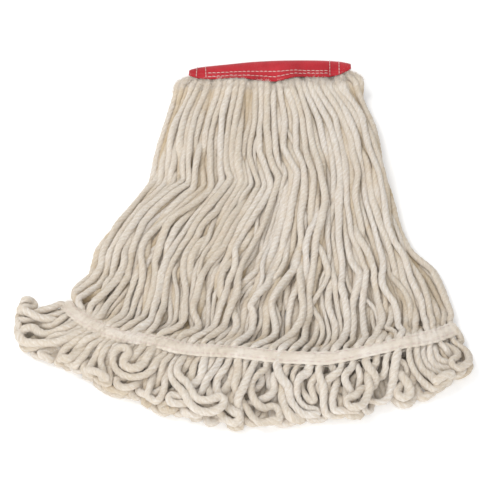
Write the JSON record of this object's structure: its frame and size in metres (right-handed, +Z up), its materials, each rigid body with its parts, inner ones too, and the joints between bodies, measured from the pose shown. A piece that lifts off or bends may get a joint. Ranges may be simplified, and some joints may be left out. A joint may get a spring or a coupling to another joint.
{
  "type": "string mop head",
  "caption": "Loop-end string mop head: cotton yarn folded in half through a red cloth headband, each half sewn across by a tailband above its loops.",
  "frame": {"origin": "centre of the bounding box's underside, with the mop lying flat", "axes": "+Z up; X along the headband's fold; +Y from the loops towards the headband"},
  "size_m": [0.4308, 0.4237, 0.032],
  "materials": {
    "cotton_yarn": "unbleached cream four-ply cotton yarn, matt, a little hairy",
    "headband_cloth": "red woven cotton strip, matt",
    "band_thread": "pale sewing thread on the red strip",
    "tailband_tape": "off-white woven tape, puckered by its stitching",
    "tailband_thread": "off-white sewing thread"
  },
  "bodies": {
    "back_half": {"back_fold_yarn": "cotton_yarn", "back_loops_01": "cotton_yarn", "back_loops_02": "cotton_yarn", "back_loops_03": "cotton_yarn", "back_loops_04": "cotton_yarn", "back_loops_05": "cotton_yarn", "back_loops_06": "cotton_yarn", "back_loops_07": "cotton_yarn", "back_strands_01": "cotton_yarn", "back_strands_02": "cotton_yarn", "back_strands_03": "cotton_yarn", "back_strands_04": "cotton_yarn", "back_strands_05": "cotton_yarn", "back_strands_06": "cotton_yarn", "back_strands_07": "cotton_yarn", "back_tailband_lower_tape": "tailband_tape", "back_tailband_seam_lower": "tailband_thread", "back_tailband_seam_upper": "tailband_thread", "back_tailband_upper_tape": "tailband_tape", "headband_back_end_seams": "band_thread", "headband_back_leaf": "headband_cloth", "headband_back_seam_lower": "band_thread", "headband_back_seam_upper": "band_thread"},
    "front_half": {"front_fold_yarn": "cotton_yarn", "front_loops_01": "cotton_yarn", "front_loops_02": "cotton_yarn", "front_loops_03": "cotton_yarn", "front_loops_04": "cotton_yarn", "front_loops_05": "cotton_yarn", "front_loops_06": "cotton_yarn", "front_loops_07": "cotton_yarn", "front_loops_08": "cotton_yarn", "front_strands_01": "cotton_yarn", "front_strands_02": "cotton_yarn", "front_strands_03": "cotton_yarn", "front_strands_04": "cotton_yarn", "front_strands_05": "cotton_yarn", "front_strands_06": "cotton_yarn", "front_strands_07": "cotton_yarn", "front_strands_08": "cotton_yarn", "front_tailband_lower_tape": "tailband_tape", "front_tailband_seam_lower": "tailband_thread", "front_tailband_seam_upper": "tailband_thread", "front_tailband_upper_tape": "tailband_tape", "headband_front_end_seams": "band_thread", "headband_front_leaf": "headband_cloth", "headband_front_seam_lower": "band_thread", "headband_front_seam_upper": "band_thread"}
  },
  "joints": [
    {"name": "front_sheet_open", "type": "hinge", "parent": "back_half", "child": "front_half", "pos_m": [0.0235, 0.21185, 0.01265], "axis": [-1, 0, 0], "range_deg": [0, 165]}
  ]
}
